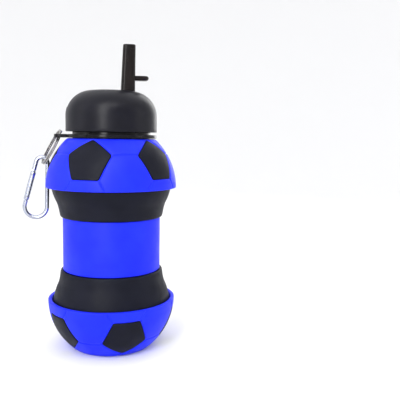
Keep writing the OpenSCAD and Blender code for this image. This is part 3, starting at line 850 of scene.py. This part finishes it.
def make_hook():
    """The carabiner's rod, from under the latch, round the wide bend, up its spine and down to the pivot."""
    side = (narrow_end - wide_end).length * cos(flare)
    soft = 0.25 * MM
    small = (WIRE_R - soft) / WIRE_R
    bm = bmesh.new()
    start = bmesh.ops.create_circle(bm, cap_ends=True, segments=32, radius=WIRE_R - soft)["verts"]
    bmesh.ops.translate(bm, verts=start, vec=(0, 0, GATE_START - 0.4 * MM))
    bmesh.ops.transform(bm, matrix=gate_side, verts=start)
    face = start[0].link_faces[0]
    down = (gate_side.to_3x3() @ Vector((0, 0, -1))).normalized()
    spine = (hook_plane.to_3x3() @ Matrix.Rotation(-flare, 3, "Y") @ Vector((0, 0, 1))).normalized()
    face = pull_face(bm, face, down * soft, 1, 1 / small)
    face = pull_face(bm, face, down * (GATE_START - 0.4 * MM - soft), 2)
    face = carry_face(bm, face, False, cent=wide_end, axis=(0, 1, 0), angle=-(pi + 2 * flare), steps=44)
    face = pull_face(bm, face, spine * side, 10)
    face = carry_face(bm, face, False, cent=narrow_end, axis=(0, 1, 0), angle=-(pi - 2 * flare), steps=32)
    face = pull_face(bm, face, down * (side - NOSE - soft), 2)
    pull_face(bm, face, down * soft, 1, small)
    bmesh.ops.contextual_create(bm, geom=[e for e in bm.edges if e.is_boundary])
    add_piece(bm, "carabiner_rod", alloy, "carabiner", ["carabiner_frame"], 40)


def side_block(width, thick, start, end):
    """A block across the gate's side, before it is set in place."""
    bm = bmesh.new()
    bmesh.ops.create_cube(bm, size=1)
    bmesh.ops.scale(bm, vec=(width, thick, end - start), verts=bm.verts)
    bmesh.ops.translate(bm, verts=bm.verts, vec=(0, 0, (start + end) / 2))
    return bm


def make_blades():
    """The two flats of the rod that the slots in the gate close over."""
    latch = "latch_blade", GATE_START - 1.2 * MM, LATCH + 1.3 * MM, WIRE_R - 0.2 * MM
    hinged = "hinge_blade", PIVOT - 1.3 * MM, NOSE + 1 * MM, WIRE_R - 0.1 * MM
    for name, start, end, half in (latch, hinged):
        bm = side_block(2 * half, 1.2 * MM, start, end)
        bmesh.ops.bevel(bm, geom=bm.edges[:], affect="EDGES", offset=0.2 * MM, segments=3, profile=0.5,
                        material=-1)
        bmesh.ops.transform(bm, matrix=gate_side, verts=bm.verts)
        add_piece(bm, name, alloy, "carabiner")


def make_gate():
    """The round bar that springs shut, slotted over the latch and over the rod's nose."""
    r = GATE_R
    outline = [(0, GATE_START), (r - 0.45 * MM, GATE_START), (r - 0.12 * MM, GATE_START + 0.12 * MM),
               (r, GATE_START + 0.45 * MM)]
    outline += [(r, GATE_START + (PIVOT - GATE_START) * k / 10) for k in range(1, 11)]
    outline += [(r, PIVOT + 1.3 * MM), (r - 0.25 * MM, PIVOT + 1.9 * MM)]
    outline += [(r - 0.7 * MM, GATE_END - 0.35 * MM), (r - 1.2 * MM, GATE_END - 0.1 * MM), (0, GATE_END)]
    bm = spun(outline, 48)
    bmesh.ops.remove_doubles(bm, verts=bm.verts, dist=1e-6)
    bmesh.ops.recalc_face_normals(bm, faces=bm.faces)
    gate = to_object(bm, "carabiner_gate_bar")
    for start, end in ((GATE_START - 1 * MM, LATCH + 2.1 * MM), (PIVOT - 2.3 * MM, PIVOT + 4 * MM)):
        carve(gate, to_object(side_block(8 * MM, 1.5 * MM, start, end), "slot"))
    gate.data.transform(gate_side)
    soften(gate, 0.12 * MM, 2, 50)
    finish_piece(gate, alloy, 40)
    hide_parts("carabiner_gate")
    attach(gate, "gate")


def make_rivets():
    """A domed head at each side of the gate, on a thinner shank."""
    shank, rim, crown, reach = 0.6 * MM, 0.74 * MM, 0.45 * MM, 2.12 * MM
    far = [(shank, reach - 0.45 * MM), (rim, reach - 0.4 * MM), (rim - 0.02 * MM, reach - 0.16 * MM),
           (crown, reach + 0.02 * MM), (0, reach + 0.1 * MM)]
    outline = [(r, -z) for r, z in far[::-1]] + far
    for name, along, body in (("gate_rivet", PIVOT, "carabiner"), ("latch_rivet", LATCH, "gate")):
        bm = spun(outline, 24)
        bmesh.ops.rotate(bm, verts=bm.verts, cent=ORIGIN, matrix=Matrix.Rotation(pi / 2, 3, "X"))
        bmesh.ops.translate(bm, verts=bm.verts, vec=(0, 0, along))
        bmesh.ops.transform(bm, matrix=gate_side, verts=bm.verts)
        add_piece(bm, name + "_pin", pin_steel, body, [name])


# ---- Inside the cap ----

def make_cap_inside():
    """Finishes for the parts that stay as they are in the frame, and the cap's own thread."""
    dress_node("cap_liner", liner_plastic)
    dress_node("cap_gasket", clear_rubber)
    dress_node("spout_seal", clear_rubber)
    dress_node("vent_valve", clear_rubber)
    dress_node("spout_pins", pin_steel)
    dress_node("gate_spring", pin_steel)
    ridge = helix_ridge(30.15 * MM, -1.2 * MM, 1.9 * MM, 0.8 * MM, cap_z0 + 3.3 * MM, 1.0)
    add_piece(ridge, "cap_thread", liner_plastic, "cap", (), 25)


# ---- Room and camera ----

def make_room():
    """A pale round floor that curves up into a wall all round, well away from the bottle, open above."""
    flat, curve, wall = 0.9, 1.7, 2.8
    bend = [pi / 2 * k / 16 for k in range(1, 17)]
    line = [(flat * k / 3, 0.0) for k in range(4)]
    line += [(flat + curve * sin(a), curve * (1 - cos(a))) for a in bend] + [(flat + curve, wall)]
    floor = to_object(spun(line, 96, False), "floor")
    bm = bmesh.new()
    bm.from_mesh(floor.data)
    bmesh.ops.remove_doubles(bm, verts=bm.verts, dist=1e-6)
    bmesh.ops.recalc_face_normals(bm, faces=bm.faces)
    if min(bm.faces, key=lambda f: f.calc_center_median().length).normal.z < 0:
        bmesh.ops.reverse_faces(bm, faces=bm.faces)
    bm.to_mesh(floor.data)
    bm.free()
    shade(floor, 60)
    mat, _, _, shader, _ = new_finish("pale_floor")
    shader.inputs["Base Color"].default_value = (0.80, 0.80, 0.805, 1)
    shader.inputs["Roughness"].default_value = 0.8
    shader.inputs["Specular IOR Level"].default_value = 0.1
    floor.data.materials.append(mat)
    world = bpy.data.worlds.new("studio")
    bpy.context.scene.world = world
    world.use_nodes = True
    glow = world.node_tree.nodes["Background"]
    glow.inputs["Color"].default_value = (0.94, 0.96, 1.0, 1)
    glow.inputs["Strength"].default_value = 0.25


def softbox(name, place, aim, size, power):
    """A white area light in metres and watts, turned to a point."""
    light = bpy.data.lights.new(name, "AREA")
    light.shape, light.size, light.size_y = "RECTANGLE", size[0], size[1]
    light.energy = power
    obj = bpy.data.objects.new(name, light)
    obj.location = place
    obj.rotation_euler = (Vector(aim) - Vector(place)).to_track_quat("-Z", "Y").to_euler()
    bpy.context.scene.collection.objects.link(obj)


def make_lights():
    softbox("key_softbox", (-0.34, -0.85, 0.48), (0, 0, 0.12), (0.26, 0.85), 7.2)
    softbox("high_softbox", (-0.05, -0.62, 0.85), (0, 0, 0.16), (0.55, 0.16), 2.0)
    softbox("left_softbox", (-0.85, -0.15, 0.5), (0, 0, 0.1), (0.35, 0.9), 1.6)
    softbox("right_softbox", (0.85, -0.25, 0.4), (0, 0, 0.1), (0.35, 0.9), 1.0)
    softbox("rim_softbox", (0.5, 0.75, 0.45), (0, 0, 0.12), (0.35, 0.7), 2.0)
    softbox("ceiling_softbox", (0.0, 0.0, 2.4), (0, 0, 0), (4.2, 4.2), 72)


def make_camera():
    """In front of the bottle, looking a little down, with the bottle left of the middle."""
    yaw, down, roll = radians(-8.69), radians(6.24), radians(0.83)
    data = bpy.data.cameras.new("camera")
    data.sensor_width = 36
    data.lens = 52.25
    data.clip_start = 0.01
    obj = bpy.data.objects.new("camera", data)
    obj.location = (0, -0.436, 0.1583)
    aim = Matrix.Rotation(yaw, 3, "Z") @ Matrix.Rotation(pi / 2 - down, 3, "X")
    obj.rotation_euler = (aim @ Matrix.Rotation(roll, 3, "Z")).to_euler()
    bpy.context.scene.collection.objects.link(obj)
    bpy.context.scene.camera = obj
    bpy.context.scene.view_settings.view_transform = "Standard"


make_camera()
make_room()
make_lights()
make_upper_half()
make_lower_half()
for k in range(5):
    make_panel(ball_r, top_rim_z, k, True)
    make_panel(low_r, low_rim_z, k, False)
make_base_panel()
make_waist(True)
make_waist(False)
make_sleeve()
make_neck()
make_collar()
make_cap()
make_spout()
make_split_ring()
make_hook()
make_blades()
make_gate()
make_rivets()
make_cap_inside()
